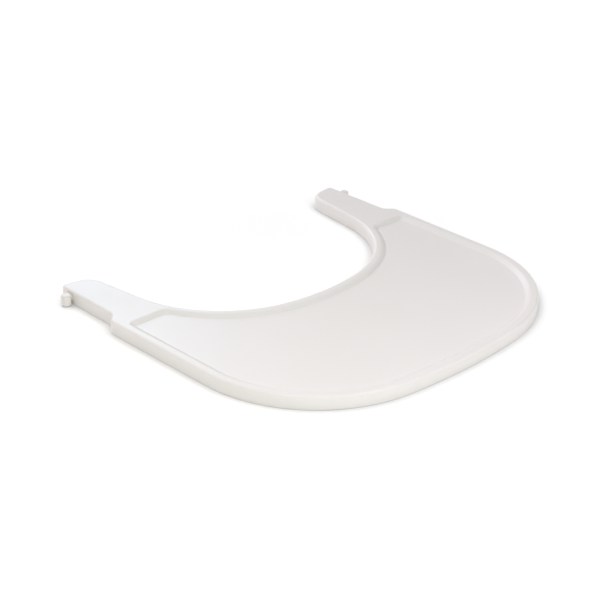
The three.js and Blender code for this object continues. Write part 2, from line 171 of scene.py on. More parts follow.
# Steps along each stretch of an outline or section
FRONT_STEPS, CORNER_STEPS = 12, 44
SIDE_STEPS, SHOULDER_STEPS = 6, 10
TIP_OUTER_STEPS, TIP_INNER_STEPS = 8, 24
ARM_INNER_STEPS = 4
DECK_STEPS = {"side": 5, "outer_corner": 6, "riser": 4, "inner_corner": 8}
LOWER_ROUND_STEPS, UPPER_ROUND_STEPS = 4, 14
SLOPE_STEPS = 18
EASE_STEPS = 3
LEVER_END_STEPS = 14
RECTANGLE_CORNER_STEPS, PAD_CORNER_STEPS = 5, 8
CIRCLE_SIDES, SCREW_HOLE_SIDES, PIN_SIDES, HUB_SIDES, HEAD_SIDES = 32, 20, 40, 48, 56
HEAD_FOOT_STEPS, HEAD_TOP_STEPS = 5, 8
SPRING_STEPS, WIRE_SIDES = 28, 12  # steps in one turn, and sides of the wire

# Shading
SHARP_ANGLE = math.radians(35)
FACE_AREA_WEIGHT = 100


# ---- Outlines -----------------------------------------------------------------------------
def arc(cx, cy, r, start, end, count):
    """Points along an arc, both ends included."""
    angles = [start + (end - start) * i / count for i in range(count + 1)]
    return [Vector((cx + r * math.cos(a), cy + r * math.sin(a))) for a in angles]


def line(a, b, count):
    """Points along a straight stretch, without its ends."""
    return [a.lerp(b, i / count) for i in range(1, count)]


def symmetric(right):
    """A right half, from the front apex to the cut-out's apex, joined to its mirror image."""
    return right + [Vector((-p.x, p.y)) for p in reversed(right[1:-1])]


corner_turn = math.asin(CORNER_X / (FRONT_RADIUS - CORNER_RADIUS))
corner_y = FRONT_RADIUS - (FRONT_RADIUS - CORNER_RADIUS) * math.cos(corner_turn)
cut_centre_y = CUT_APEX_Y + CUT_RADIUS
cut_corner = Vector((
    (CUT_RADIUS - CUT_CORNER_RADIUS) * math.sin(CUT_CORNER_TURN),
    cut_centre_y - (CUT_RADIUS - CUT_CORNER_RADIUS) * math.cos(CUT_CORNER_TURN),
))
DOWN = -math.pi / 2


def front_edge(inset):
    turn = DOWN + corner_turn
    front = arc(0, FRONT_RADIUS, FRONT_RADIUS - inset, DOWN, turn, FRONT_STEPS)
    corner = arc(CORNER_X, corner_y, CORNER_RADIUS - inset, turn, -SIDE_FLARE, CORNER_STEPS)
    return front + corner[1:]


def shoulder(inset):
    lower_x = SHOULDER_X - SHOULDER_RADIUS
    upper_x = ARM_OUTER_X + SHOULDER_RADIUS
    turn = math.acos((upper_x - lower_x) / (2 * SHOULDER_RADIUS))
    upper_y = SHOULDER_Y + 2 * SHOULDER_RADIUS * math.sin(turn)
    lower = arc(lower_x, SHOULDER_Y, SHOULDER_RADIUS - inset, -SIDE_FLARE, turn, SHOULDER_STEPS)
    start = math.pi + turn
    upper = arc(upper_x, upper_y, SHOULDER_RADIUS + inset, start, math.pi, SHOULDER_STEPS)
    return lower + upper[1:]


def tip_centre():
    y = LENGTH - TIP_INNER_RADIUS
    reach = CUT_CORNER_RADIUS + TIP_INNER_RADIUS
    along = (y - cut_corner.y + reach * math.sin(ARM_TILT)) / math.cos(ARM_TILT)
    x = cut_corner.x + reach * math.cos(ARM_TILT) + along * math.sin(ARM_TILT)
    return Vector((x, y))


tip = tip_centre()


def arm_tip(inset, inner_inset):
    outer_x = ARM_OUTER_X - TIP_OUTER_RADIUS
    outer_y = LENGTH - TIP_OUTER_RADIUS
    outer = arc(outer_x, outer_y, TIP_OUTER_RADIUS - inset, 0, math.pi / 2, TIP_OUTER_STEPS)
    end = math.pi - ARM_TILT
    inner = arc(tip.x, tip.y, TIP_INNER_RADIUS - inner_inset, math.pi / 2, end, TIP_INNER_STEPS)
    return outer + inner


def cut_edge(inset, start):
    turn = DOWN + CUT_CORNER_TURN
    corner = arc(cut_corner.x, cut_corner.y, CUT_CORNER_RADIUS + inset, start, turn, CORNER_STEPS)
    return corner + arc(0, cut_centre_y, CUT_RADIUS + inset, turn, DOWN, FRONT_STEPS)[1:]


def tray_outline(inset, cut_inset):
    """Outline drawn in from the outer edge and, from the arm tips on, from the cut-out's edge."""
    side_start = front_edge(inset)
    step = shoulder(inset)
    ends = arm_tip(inset, cut_inset)
    cut = cut_edge(cut_inset, -ARM_TILT)
    right = side_start + line(side_start[-1], step[0], SIDE_STEPS) + step
    right += line(step[-1], ends[0], SIDE_STEPS) + ends
    right += line(ends[-1], cut[0], ARM_INNER_STEPS) + cut
    return symmetric(right)


def deck_outline(outer, inner, riser_y, outer_fillet, inner_fillet):
    """Edge of the sunk deck at given distances from the tray's outer edge and from the cut-out."""
    side_x = CORNER_X + CORNER_RADIUS - outer + (riser_y - corner_y) * math.tan(SIDE_FLARE)
    radius = CUT_CORNER_RADIUS + inner
    x, y = side_x - outer_fillet, riser_y - outer_fillet
    outer_corner = arc(x, y, outer_fillet, 0, math.pi / 2, DECK_STEPS["outer_corner"])
    y = riser_y - inner_fillet
    x = cut_corner.x + math.sqrt((radius + inner_fillet) ** 2 - (y - cut_corner.y) ** 2)
    meet = math.atan2(y - cut_corner.y, x - cut_corner.x)
    end = math.pi + meet
    inner_corner = arc(x, y, inner_fillet, math.pi / 2, end, DECK_STEPS["inner_corner"])
    front = front_edge(outer)
    right = front + line(front[-1], outer_corner[0], DECK_STEPS["side"]) + outer_corner
    right += line(outer_corner[-1], inner_corner[0], DECK_STEPS["riser"]) + inner_corner
    right += cut_edge(inner, meet)[1:]
    return symmetric(right)


def bay_outline(inset, front_y, side):
    """Inside of an arm behind the front wall of its latch bay."""
    radius = CUT_CORNER_RADIUS + inset
    start = cut_corner + radius * Vector((math.cos(ARM_TILT), -math.sin(ARM_TILT)))
    front_x = start.x + (front_y - start.y) * math.tan(ARM_TILT)
    right = [Vector((front_x, front_y)), Vector((ARM_OUTER_X - inset, front_y))] + arm_tip(inset, inset)
    return right if side > 0 else [Vector((-p.x, p.y)) for p in reversed(right)]


def rounded_rectangle(cx, cy, w, d, r, count=RECTANGLE_CORNER_STEPS):
    """Rounded rectangle of half sizes w and d."""
    points = []
    for i, (sx, sy) in enumerate(((1, 1), (-1, 1), (-1, -1), (1, -1))):
        start = i * math.pi / 2
        points += arc(cx + sx * (w - r), cy + sy * (d - r), r, start, start + math.pi / 2, count)
    return points


def circle(cx, cy, r, count=CIRCLE_SIDES):
    return arc(cx, cy, r, 0, 2 * math.pi, count)[:-1]


# ---- Mesh tools ---------------------------------------------------------------------------
def new_object(name, bm):
    mesh = bpy.data.meshes.new(name)
    bm.to_mesh(mesh)
    bm.free()
    obj = bpy.data.objects.new(name, mesh)
    bpy.context.scene.collection.objects.link(obj)
    return obj


def upright(u, v, w):
    return (u, v + FRONT_Y, w)


def along_x(u, v, w):
    return (w, u + FRONT_Y, v)


def loft(name, *solids, place=upright):
    """Closed solids, each through flat rings of equal length, given as (points, height) bottom up."""
    bm = bmesh.new()
    for rings in solids:
        loops = [[bm.verts.new(place(p.x, p.y, height)) for p in points] for points, height in rings]
        for low, high in zip(loops, loops[1:]):
            for i in range(len(low)):
                j = (i + 1) % len(low)
                bm.faces.new((low[i], low[j], high[j], high[i]))
        bm.faces.new(list(reversed(loops[0])))
        bm.faces.new(loops[-1])
    return new_object(name, bm)


def prism(points, z0, z1):
    return [(points, z0), (points, z1)]


def corners(x0, y0, x1, y1, side=1, round_by=0):
    """Rectangle between two corners, mirrored to the left arm by the side factor."""
    cx, cy = side * (x0 + x1) / 2, (y0 + y1) / 2
    w, d = abs(x1 - x0) / 2, abs(y1 - y0) / 2
    if round_by:
        return rounded_rectangle(cx, cy, w, d, round_by)
    signs = ((-1, -1), (1, -1), (1, 1), (-1, 1))
    return [Vector((cx + sx * w, cy + sy * d)) for sx, sy in signs]


def block(x0, y0, z0, x1, y1, z1, side=1):
    return prism(corners(x0, y0, x1, y1, side), z0, z1)


def eased(outline, z0, z1, ease):
    """Solid whose lower and upper edges are rounded; outline(inset) gives one ring."""
    turns = quarter(EASE_STEPS)
    rings = [(outline(ease * (1 - math.sin(a))), z0 + ease * (1 - math.cos(a))) for a in turns]
    rings += [(outline(ease * (1 - math.cos(a))), z1 - ease * (1 - math.sin(a))) for a in turns]
    return rings


def eased_block(x0, y0, z0, x1, y1, z1, side, ease):
    def outline(inset):
        return corners(x0 + inset, y0 + inset, x1 - inset, y1 - inset, side, ease + LEAST_CORNER - inset)

    return eased(outline, z0, z1, ease)


def bar(name, x0, x1, y, z, r):
    """Cylinder lying along X."""
    low, high = min(x0, x1), max(x0, x1)
    return loft(name, prism(circle(y, z, r), low, high), place=along_x)


def boolean(target, cutter, operation="DIFFERENCE"):
    """Cuts, joins or intersects target with cutter, and removes the cutter."""
    modifier = target.modifiers.new("boolean", "BOOLEAN")
    modifier.operation = operation
    modifier.solver = "MANIFOLD"
    modifier.object = cutter
    evaluated = target.evaluated_get(bpy.context.evaluated_depsgraph_get())
    mesh = bpy.data.meshes.new_from_object(evaluated)
    target.modifiers.clear()
    target.data = mesh
    bpy.data.objects.remove(cutter)
    return target


def finish_piece(obj, material, body, *nodes):
    """Shading, material, motion and the CAD nodes that a piece stands for."""
    obj.data.name = obj.name
    obj.data.materials.clear()
    obj.data.materials.append(material)
    obj.data.shade_smooth()
    obj.data.set_sharp_from_angle(angle=SHARP_ANGLE)
    normals = obj.modifiers.new("normals", "WEIGHTED_NORMAL")
    normals.keep_sharp = True
    normals.weight = FACE_AREA_WEIGHT
    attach(obj, body)
    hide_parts(*nodes)
    return obj


def quarter(count):
    """Steps of a quarter turn, both ends included."""
    return [math.pi / 2 * i / count for i in range(count + 1)]


# ---- Materials ----------------------------------------------------------------------------
PLASTIC = {"IOR": 1.5, "Specular IOR Level": 0.5}
TONE = {"scale": 9, "detail": 3}
GRAIN = {"detail": 4, "roughness": 0.6, "height": 0.05 * MM}
RUBBED_EDGE = {"from": 0.52, "to": 0.62, "polish": -0.08}
SMEAR = {"scale": 26, "detail": 5, "low": -0.05, "high": 0.07}
STREAKS = {"scale": 1400, "detail": 3, "dark": 0.82, "low": -0.08, "high": 0.12}


def noise(tree, coords, scale, detail):
    """Noise over the object's own coordinates."""
    node = tree.nodes.new("ShaderNodeTexNoise")
    node.inputs["Scale"].default_value = scale
    node.inputs["Detail"].default_value = detail
    tree.links.new(coords.outputs["Object"], node.inputs["Vector"])
    return node


def remap(tree, value, low, high, start=0, end=1):
    """Stretches the range from start to end into the range from low to high."""
    node = tree.nodes.new("ShaderNodeMapRange")
    node.inputs["From Min"].default_value = start
    node.inputs["From Max"].default_value = end
    node.inputs["To Min"].default_value = low
    node.inputs["To Max"].default_value = high
    tree.links.new(value, node.inputs["Value"])
    return node


def blend(tree, factor, first, second):
    """Mixes two colours."""
    node = tree.nodes.new("ShaderNodeMix")
    node.data_type = "RGBA"
    node.inputs["A"].default_value = (*first, 1)
    node.inputs["B"].default_value = (*second, 1)
    tree.links.new(factor, node.inputs["Factor"])
    return node.outputs["Result"]


def new_material(name):
    """Material with its node tree, surface node and object coordinates."""
    material = bpy.data.materials.new(name)
    material["slot"] = name
    material.use_nodes = True
    tree = material.node_tree
    return material, tree, tree.nodes["Principled BSDF"], tree.nodes.new("ShaderNodeTexCoord")


def plastic_gloss(tree, coords, roughness):
    """Roughness that is uneven from handling and lower on rubbed edges."""
    smear = noise(tree, coords, SMEAR["scale"], SMEAR["detail"])
    gloss = remap(tree, smear.outputs["Fac"], roughness + SMEAR["low"], roughness + SMEAR["high"])
    geometry = tree.nodes.new("ShaderNodeNewGeometry")
    start, end = RUBBED_EDGE["from"], RUBBED_EDGE["to"]
    edge = remap(tree, geometry.outputs["Pointiness"], 0, RUBBED_EDGE["polish"], start, end)
    total = tree.nodes.new("ShaderNodeMath")
    total.operation = "ADD"
    total.use_clamp = True
    tree.links.new(gloss.outputs["Result"], total.inputs[0])
    tree.links.new(edge.outputs["Result"], total.inputs[1])
    return total.outputs["Value"]


def moulded_plastic(name, color, shade, roughness, grain, bump):
    """Injection-moulded plastic: faint tone drift, fine spark-eroded grain, uneven gloss, rubbed edges."""
    material, tree, surface, coords = new_material(name)
    for socket, value in PLASTIC.items():
        surface.inputs[socket].default_value = value
    drift = noise(tree, coords, TONE["scale"], TONE["detail"])
    tree.links.new(blend(tree, drift.outputs["Fac"], color, shade), surface.inputs["Base Color"])
    texture = noise(tree, coords, grain, GRAIN["detail"])
    texture.inputs["Roughness"].default_value = GRAIN["roughness"]
    height = tree.nodes.new("ShaderNodeBump")
    height.inputs["Strength"].default_value = bump
    height.inputs["Distance"].default_value = GRAIN["height"]
    tree.links.new(texture.outputs["Fac"], height.inputs["Height"])
    tree.links.new(height.outputs["Normal"], surface.inputs["Normal"])
    tree.links.new(plastic_gloss(tree, coords, roughness), surface.inputs["Roughness"])
    return material


def brushed_metal(name, color, roughness):
    """Zinc-plated steel: fine drawn streaks and a slightly uneven tone."""
    material, tree, surface, coords = new_material(name)
    surface.inputs["Metallic"].default_value = 1
    streaks = noise(tree, coords, STREAKS["scale"], STREAKS["detail"])
    dark = [c * STREAKS["dark"] for c in color]
    tree.links.new(blend(tree, streaks.outputs["Fac"], dark, color), surface.inputs["Base Color"])
    low, high = roughness + STREAKS["low"], roughness + STREAKS["high"]
    gloss = remap(tree, streaks.outputs["Fac"], low, high)
    tree.links.new(gloss.outputs["Result"], surface.inputs["Roughness"])
    return material


tray_white = moulded_plastic("tray_white", (0.83, 0.828, 0.82), (0.80, 0.796, 0.785), 0.36, 2200, 0.12)
cover_white = moulded_plastic("cover_white", (0.79, 0.785, 0.77), (0.76, 0.755, 0.74), 0.5, 1500, 0.3)
latch_white = moulded_plastic("latch_white", (0.80, 0.79, 0.765), (0.77, 0.76, 0.735), 0.4, 2600, 0.1)
grip_rubber = moulded_plastic("grip_rubber", (0.42, 0.42, 0.41), (0.36, 0.36, 0.35), 0.8, 1200, 0.5)
steel = brushed_metal("steel", (0.62, 0.63, 0.64), 0.3)


# ---- Tray shell ---------------------------------------------------------------------------
def rounding(radius, z):
    """How far an upper edge of this radius has drawn in at a height."""
    rise = max(0, z - HEIGHT + radius)
    return radius - math.sqrt(radius * radius - rise * rise)


def body_rings():
    """Outside of the moulding: eased lower edge, drafted wall, roundings that differ inside and outside."""
    rings = []
    for angle in quarter(LOWER_ROUND_STEPS):
        inset = LOWER_ROUND * (1 - math.sin(angle))
        rings.append((tray_outline(inset, inset), LOWER_ROUND * (1 - math.cos(angle))))
    for angle in quarter(UPPER_ROUND_STEPS):
        z = HEIGHT - CUT_ROUND * (1 - math.sin(angle))
        draft = DRAFT * (z - LOWER_ROUND) / (HEIGHT - LOWER_ROUND) * math.cos(angle)
        rings.append((tray_outline(draft + rounding(EDGE_ROUND, z), draft + rounding(CUT_ROUND, z)), z))
    return rings


def recess_rings(margin, drop):
    """The sunk deck as a cutter: an S-shaped slope to the outer rim, a rounded bead on the other sides."""
    depth = HEIGHT - DECK_TOP
    fillet = FOOT_FILLET / depth
    rings = []
    for angle in quarter(SLOPE_STEPS):
        run = math.sin(angle)
        curve = run * run * (3 - 2 * run)
        rise = SLOPE_STRAIGHT * run + (1 - SLOPE_STRAIGHT) * curve
        toe = FOOT_FILLET * max(0, 1 - rise / fillet) ** 2
        dome = 1 - math.sqrt(max(0, 1 - rise * rise))
        bead = RIM_SLOPE * (BEAD_STRAIGHT * rise + (1 - BEAD_STRAIGHT) * dome)
        outer = OUTER_RIM - margin - RIM_SLOPE * run
        inner = INNER_RIM - margin + toe - bead
        riser_y = RISER_Y + margin - toe + bead
        outer_fillet = RISER_OUTER_FILLET + bead
        inner_fillet = RISER_INNER_FILLET + bead
        ring = deck_outline(outer, inner, riser_y, outer_fillet, inner_fillet)
        rings.append((ring, DECK_TOP - drop + depth * rise))
    rings.append((ring, HEIGHT - drop + OVERLAP))
    return rings


def pocket_centres():
    """Centres of the square pockets between the ribs, column by column from the arms forwards."""
    half = RIB_PITCH / 2
    columns = math.ceil(SHOULDER_X / RIB_PITCH)
    first_y = BAY_Y - RIB / 2 - GAP - half
    rows = math.ceil(first_y / RIB_PITCH) + 1
    for column in range(-columns, columns):
        for row in range(rows):
            yield (column + 0.5) * RIB_PITCH, first_y - row * RIB_PITCH


def pockets():
    """One tapered cutter for each pocket, joined below the ribs' lower edges and in the arms."""
    size = (RIB_PITCH - RIB) / 2
    cells = []
    for x, y in pocket_centres():
        low = rounded_rectangle(x, y, size, size, POCKET_ROUND)
        high = rounded_rectangle(x, y, size - POCKET_DRAFT, size - POCKET_DRAFT, POCKET_ROUND)
        cells.append([(low, 0), (high, HEIGHT)])
    cutter = loft("pockets", *cells)
    slab = block(-LENGTH, -OVERLAP, -2 * OVERLAP, LENGTH, BAY_Y - RIB - GAP, RIB_CLEAR)
    boolean(cutter, loft("slab", slab), "UNION")
    arms = block(-LENGTH, BAY_Y - GAP, -2 * OVERLAP, LENGTH, LENGTH + OVERLAP, HEIGHT)
    return boolean(cutter, loft("arms", arms), "UNION")


def inside(x, y, outline):
    """Whether a point lies inside an outline, by counting the edges to its right."""
    crossings = 0
    for a, b in zip(outline, outline[1:] + outline[:1]):
        if (a.y > y) != (b.y > y) and x < a.x + (b.x - a.x) * (y - a.y) / (b.y - a.y):
            crossings += 1
    return crossings % 2 == 1


def ejector_marks():
    """Shallow round pads that the ejector pins leave under the level part of the deck."""
    clear = EJECTOR["r"] + WALL
    corner = EJECTOR["corner"]
    level = deck_outline(OUTER_RIM + clear, INNER_RIM + clear, RISER_Y - clear, corner, corner)
    low = DECK_TOP - WALL - EJECTOR["height"]
    places = [(x, y) for x, y in pocket_centres() if inside(x, y, level)]
    return loft("ejector_marks", *[prism(circle(x, y, EJECTOR["r"]), low, HEIGHT) for x, y in places])


def bay_fittings(side):
    """What stands in one latch bay and is moulded with the shell."""
    roof = HEIGHT - OVERLAP
    z0 = SLIDER_Z[0]
    seat_y = (SPRING["y"] - SEAT["half"], SPRING["y"] + SEAT["half"])
    solids = [block(SEAT["x0"], seat_y[0], z0, SEAT["x1"], seat_y[1], roof, side)]
    for y in (SLIDER_Y[0] - GUIDE["gap"] - GUIDE["thick"], SLIDER_Y[1] + GUIDE["gap"]):
        solids.append(block(GUIDE["x0"], y, z0, GUIDE["x1"], y + GUIDE["thick"], roof, side))
    solids.append(prism(circle(side * PIVOT["x"], PIVOT["y"], PIN_BOSS["r"]), PIN_BOSS["z0"], roof))
    return loft("fittings", *solids)


def screw_bosses(side):
    z0 = COVER["z1"] + GAP
    posts = [prism(circle(side * x, y, SCREW_BOSS["r"]), z0, HEIGHT - OVERLAP) for x, y in SCREW_PLACES]
    return loft("bosses", *posts)


def bay_holes(side):
    r = SCREW["r"] + SCREW_FIT
    holes = []
    for x, y in SCREW_PLACES:
        hole = circle(side * x, y, r, SCREW_HOLE_SIDES)
        holes.append(prism(hole, -OVERLAP, SCREW_BOSS["top"]))
    pin = circle(side * PIVOT["x"], PIVOT["y"], PIN["r"] + PIN["fit"])
    holes.append(prism(pin, -OVERLAP, PIN["z1"] + GAP))
    return loft("holes", *holes)


def head_slot(side):
    half = HEAD["r"] + HEAD_SLOT
    x0, x1 = ARM_OUTER_X - WALL - OVERLAP, ARM_OUTER_X + OVERLAP
    slot = block(x0, HEAD["y"] - half, -OVERLAP, x1, HEAD["y"] + half, HEIGHT - WALL, side)
    return loft("head_slot", slot)


def tray_shell():
    shell = boolean(loft("tray_shell_moulding", body_rings()), loft("recess", recess_rings(0, 0)))
    walls = [(WALL, -OVERLAP), (WALL, LOWER_ROUND), (WALL + DRAFT, HEIGHT - WALL)]
    hollow = loft("hollow", [(tray_outline(inset, inset), z) for inset, z in walls])
    boolean(hollow, loft("under_deck", recess_rings(UNDER_MARGIN, WALL)))
    boolean(hollow, ejector_marks())
    boolean(hollow, pockets(), "INTERSECT")
    for _, side in SIDES:
        boolean(hollow, bay_fittings(side))
        boolean(hollow, screw_bosses(side))
        end = SEAT["x1"] + SEAT["reach"]
        spigot = bar("spigot", side * SEAT["x0"], side * end, SPRING["y"], SPRING["z"], SEAT["spigot"])
        boolean(hollow, spigot)
    boolean(shell, hollow)
    for _, side in SIDES:
        boolean(shell, head_slot(side))
        boolean(shell, bay_holes(side))
    return finish_piece(shell, tray_white, "tray", "tray_shell")


# ---- Pieces of one arm --------------------------------------------------------------------
def arm_cover(side, name):
    def outline(inset):
        return bay_outline(WALL + GAP + inset, BAY_Y + inset, side)

    cover = loft(f"{name}_cover", eased(outline, COVER["z0"], COVER["z1"], COVER["ease"]))
    boolean(cover, loft("window", window_rings(side)))
    half = HEAD["r"] + HEAD_SLOT
    notch = PLUG["x0"] - TRAVEL - HEAD_SLOT
    cut = corners(notch, HEAD["y"] - half, ARM_OUTER_X, HEAD["y"] + half, side)
    boolean(cover, loft("notch", prism(cut, 0, HEIGHT)))
    boolean(cover, loft("screw_holes", *[screw_hole(side * x, y) for x, y in SCREW_PLACES]))
    for pad in PADS.values():
        rings = [(pad_outline(side, pad, grow), z) for grow, z in ((GAP, 0), (GAP, PAD_TOP + GAP))]
        boolean(cover, loft("pad_recess", rings))
    return finish_piece(cover, cover_white, "tray", f"{name}_arm_cover")


def window_rings(side):
    """Cutter for the finger window, flared where the finger goes in."""
    low = COVER["z0"]
    high = low + WINDOW_FLARE["rise"]
    rings = []
    for flare, z in ((WINDOW_FLARE["mouth"], 0), (WINDOW_FLARE["edge"], low), (0, high), (0, HEIGHT)):
        x0, x1 = WINDOW["x0"] - flare, WINDOW["x1"] + flare
        y0, y1 = WINDOW["y0"] - flare, WINDOW["y1"] + flare
        rings.append((corners(x0, y0, x1, y1, side, WINDOW_ROUND + flare), z))
    return rings


def screw_hole(x, y):
    """Counterbore with a chamfered mouth over a clearance hole."""
    bore = SCREW["head"] + SCREW_FIT
    hole = SCREW["r"] + SCREW_FIT
    low = COVER["z0"] + GAP / 2
    high = SCREW_Z["seat"] + GAP
    steps = ((bore + SCREW_MOUTH, 0), (bore, low), (bore, high), (hole, high), (hole, HEIGHT))
    return [(circle(x, y, r), z) for r, z in steps]


def pad_outline(side, pad, grow):
    w, d = pad["w"] + grow, pad["d"] + grow
    return rounded_rectangle(side * pad["x"], pad["y"], w, d, PAD_ROUND + grow, PAD_CORNER_STEPS)


def grip_pad(side, name, pad_name, pad):
    """Soft pad with a rounded lower edge and fine grooves across it."""
    def outline(inset):
        return pad_outline(side, pad, -inset)

    piece = loft(f"{name}_{pad_name}_rubber", eased(outline, 0, PAD_TOP, PAD_EASE))
    long_way = max(pad["w"], pad["d"])
    count = int(2 * (long_way - PAD_ROUND) / GROOVE_PITCH)
    grooves = []
    for i in range(count + 1):
        at = (i - count / 2) * GROOVE_PITCH
        grooves.append(groove(side, pad, at, pad["w"] > pad["d"]))
    boolean(piece, loft("grooves", *grooves))
    return finish_piece(piece, grip_rubber, "tray", f"{name}_{pad_name}")


def groove(side, pad, at, across_y):
    """V-shaped groove right across a pad, from its mouth just below the pad up to its root."""
    rings = []
    for half, z in ((GROOVE["mouth"], -GROOVE["below"]), (GROOVE["root"], GROOVE["depth"])):
        x = pad["x"] + at if across_y else pad["x"]
        y = pad["y"] if across_y else pad["y"] + at
        w, d = (half, GROOVE_REACH) if across_y else (GROOVE_REACH, half)
        rings.append((corners(x - w, y - d, x + w, y + d, side), z))
    return rings


def head_rings(side):
    low, top = HEAD["z0"], HEAD["z1"]
    foot, ease = HEAD_EASE / 2, HEAD_EASE
    steps = [(foot * (1 - math.sin(a)), low + foot * (1 - math.cos(a))) for a in quarter(HEAD_FOOT_STEPS)]
    steps += [(ease * (1 - math.cos(a)), top - ease * (1 - math.sin(a))) for a in quarter(HEAD_TOP_STEPS)]
    return [(circle(side * HEAD["x"], HEAD["y"], HEAD["r"] - inset, HEAD_SIDES), z) for inset, z in steps]


def latch_slider(side, name):
    """Slider in the arm, plug that closes the slot in the wall, neck and round head."""
    x0, x1 = SLIDER_X
    z0, z1 = SLIDER_Z
    body = eased_block(x0, SLIDER_Y[0], z0, x1, SLIDER_Y[1], z1, side, SLIDER_EASE)
    slider = loft(f"{name}_slider", body)
    y0, y1 = HEAD["y"] - PLUG["half"], HEAD["y"] + PLUG["half"]
    plug = eased_block(PLUG["x0"], y0, PLUG["z0"], PLUG["x1"], y1, PLUG["z1"], side, GAP)
    boolean(slider, loft("plug", plug), "UNION")
    end = PLUG["x0"] + OVERLAP
    bridge = block(x1 - OVERLAP, y0 + GAP, z0, end, y1 - GAP, PLUG["z1"] - GAP, side)
    boolean(slider, loft("bridge", bridge), "UNION")
    y0, y1 = HEAD["y"] - NECK["half"], HEAD["y"] + NECK["half"]
    neck = block(PLUG["x1"] - OVERLAP, y0, z0, HEAD["x"], y1, NECK["z1"], side)
    boolean(slider, loft("neck", neck), "UNION")
    boolean(slider, loft("head", head_rings(side)), "UNION")
    bore = bar("bore", side * (x0 - OVERLAP), side * BORE["end"], SPRING["y"], SPRING["z"], BORE["r"])
    boolean(slider, bore)
    half, reach = PEG_SLOT["half"], PEG_SLOT["reach"]
    y0, y1 = PEG["y"] - reach, PEG["y"] + reach
    slot = corners(PEG["x"] - half, y0, PEG["x"] + half, y1, side, half * PEG_SLOT["round"])
    boolean(slider, loft("peg_slot", prism(slot, 0, PEG["top"] + OVERLAP)))
    return finish_piece(slider, latch_white, f"{name}_latch", f"{name}_latch_slider")


def spring_wire(side):
    """Centre line of the coil: the first and last turns lie closed, the others are evenly open."""
    wire, turns = SPRING["wire"], SPRING["turns"]
    start, end = SPRING_X[0] + wire, SPRING_X[1] - wire
    steps = turns * SPRING_STEPS
    for i in range(steps + 1):
        turn = turns * i / steps
        closed = min(1, turn) + max(0, turn - turns + 1)
        spread = min(1, max(0, (turn - 1) / (turns - 2)))
        x = start + wire * closed + (end - start - 2 * wire) * spread
        yield 2 * math.pi * turn, Vector((side * x, SPRING["y"] + FRONT_Y, SPRING["z"]))


def latch_spring(side, name):
    """Round wire in a coil with closed end turns."""
    sides, wire = WIRE_SIDES, SPRING["wire"]
    bm = bmesh.new()
    loops = []
    for angle, centre in spring_wire(side):
        outward = Vector((0, math.cos(angle), math.sin(angle)))
        loop = []
        for j in range(sides):
            turn = 2 * math.pi * j / sides
            across = Vector((side * wire * math.sin(turn), 0, 0))
            loop.append(bm.verts.new(centre + outward * (SPRING["r"] + wire * math.cos(turn)) + across))
        loops.append(loop)
    for low, high in zip(loops, loops[1:]):
        for j in range(sides):
            k = (j + 1) % sides
            bm.faces.new((low[j], low[k], high[k], high[j]))
    bm.faces.new(list(reversed(loops[0])))
    bm.faces.new(loops[-1])
    bmesh.ops.recalc_face_normals(bm, faces=bm.faces)
    piece = finish_piece(new_object(f"{name}_spring", bm), steel, "tray", f"{name}_latch_spring")
    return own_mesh(piece)


def link(x0, y0, x1, y1):
    """Bar with round ends and eased edges between two points."""
    angle = math.atan2(y1 - y0, x1 - x0)

    def outline(inset):
        r = LEVER["end"] - inset
        start, turn = angle - math.pi / 2, angle + math.pi / 2
        far = arc(x1, y1, r, start, turn, LEVER_END_STEPS)
        return far + arc(x0, y0, r, turn, turn + math.pi, LEVER_END_STEPS)

    return eased(outline, LEVER["z0"], LEVER["z1"], LEVER["ease"])


def release_lever(side, name):
    x, y = side * PIVOT["x"], PIVOT["y"]
    lever = loft(f"{name}_lever_arm", link(x, y, side * PEG["x"], PEG["y"]))
    boolean(lever, loft("finger_arm", link(side * FINGER["x"], FINGER["y"], x, y)), "UNION")

    def hub(inset):
        return circle(x, y, PIVOT["r"] - inset, HUB_SIDES)

    boolean(lever, loft("hub", eased(hub, LEVER["z0"], LEVER["z1"], LEVER["ease"])), "UNION")
    peg = circle(side * PEG["x"], PEG["y"], PEG["r"])
    peg_tip = circle(side * PEG["x"], PEG["y"], PEG["r"] - GAP)
    peg_rings = [(peg, LEVER["z0"] + OVERLAP), (peg, PEG["top"] - GAP), (peg_tip, PEG["top"])]
    boolean(lever, loft("peg", peg_rings), "UNION")
    x0, x1 = FINGER["x"] - FINGER["half"], FINGER["x"] + FINGER["half"]
    y0, y1 = FINGER_Y
    finger = eased_block(x0, y0, FINGER_Z, x1, y1, LEVER["z1"], side, FINGER_EASE)
    boolean(lever, loft("finger", finger), "UNION")
    pitch = (x1 - x0) / (FINGER_GROOVES + 1)
    for i in range(FINGER_GROOVES):
        at = x0 + (i + 1) * pitch
        low, high = y0 + FINGER_GROOVE_END, y1 - FINGER_GROOVE_END
        notch = block(at - GAP, low, 0, at + GAP, high, FINGER_Z + GAP, side)
        boolean(lever, loft("finger_groove", notch))
    boolean(lever, loft("pin_hole", prism(circle(x, y, PIN["r"] + PIN["fit"]), 0, HEIGHT)))
    return finish_piece(lever, latch_white, f"{name}_lever", f"{name}_release_lever")


def lever_pin(side, name):
    """Pin with chamfered ends and a groove for its clip near the lower end."""
    r, z0, z1, cut = PIN["r"], PIN["z0"], PIN["z1"], PIN_GROOVE
    low = z0 + 2 * cut
    steps = [(r - cut, z0), (r, z0 + cut), (r, low), (r - cut, low), (r - cut, low + cut), (r, low + cut)]
    steps += [(r, z1 - cut), (r - cut, z1)]
    rings = [(circle(side * PIVOT["x"], PIVOT["y"], radius, PIN_SIDES), z) for radius, z in steps]
    return finish_piece(loft(f"{name}_pin", rings), steel, "tray", f"{name}_lever_pin")


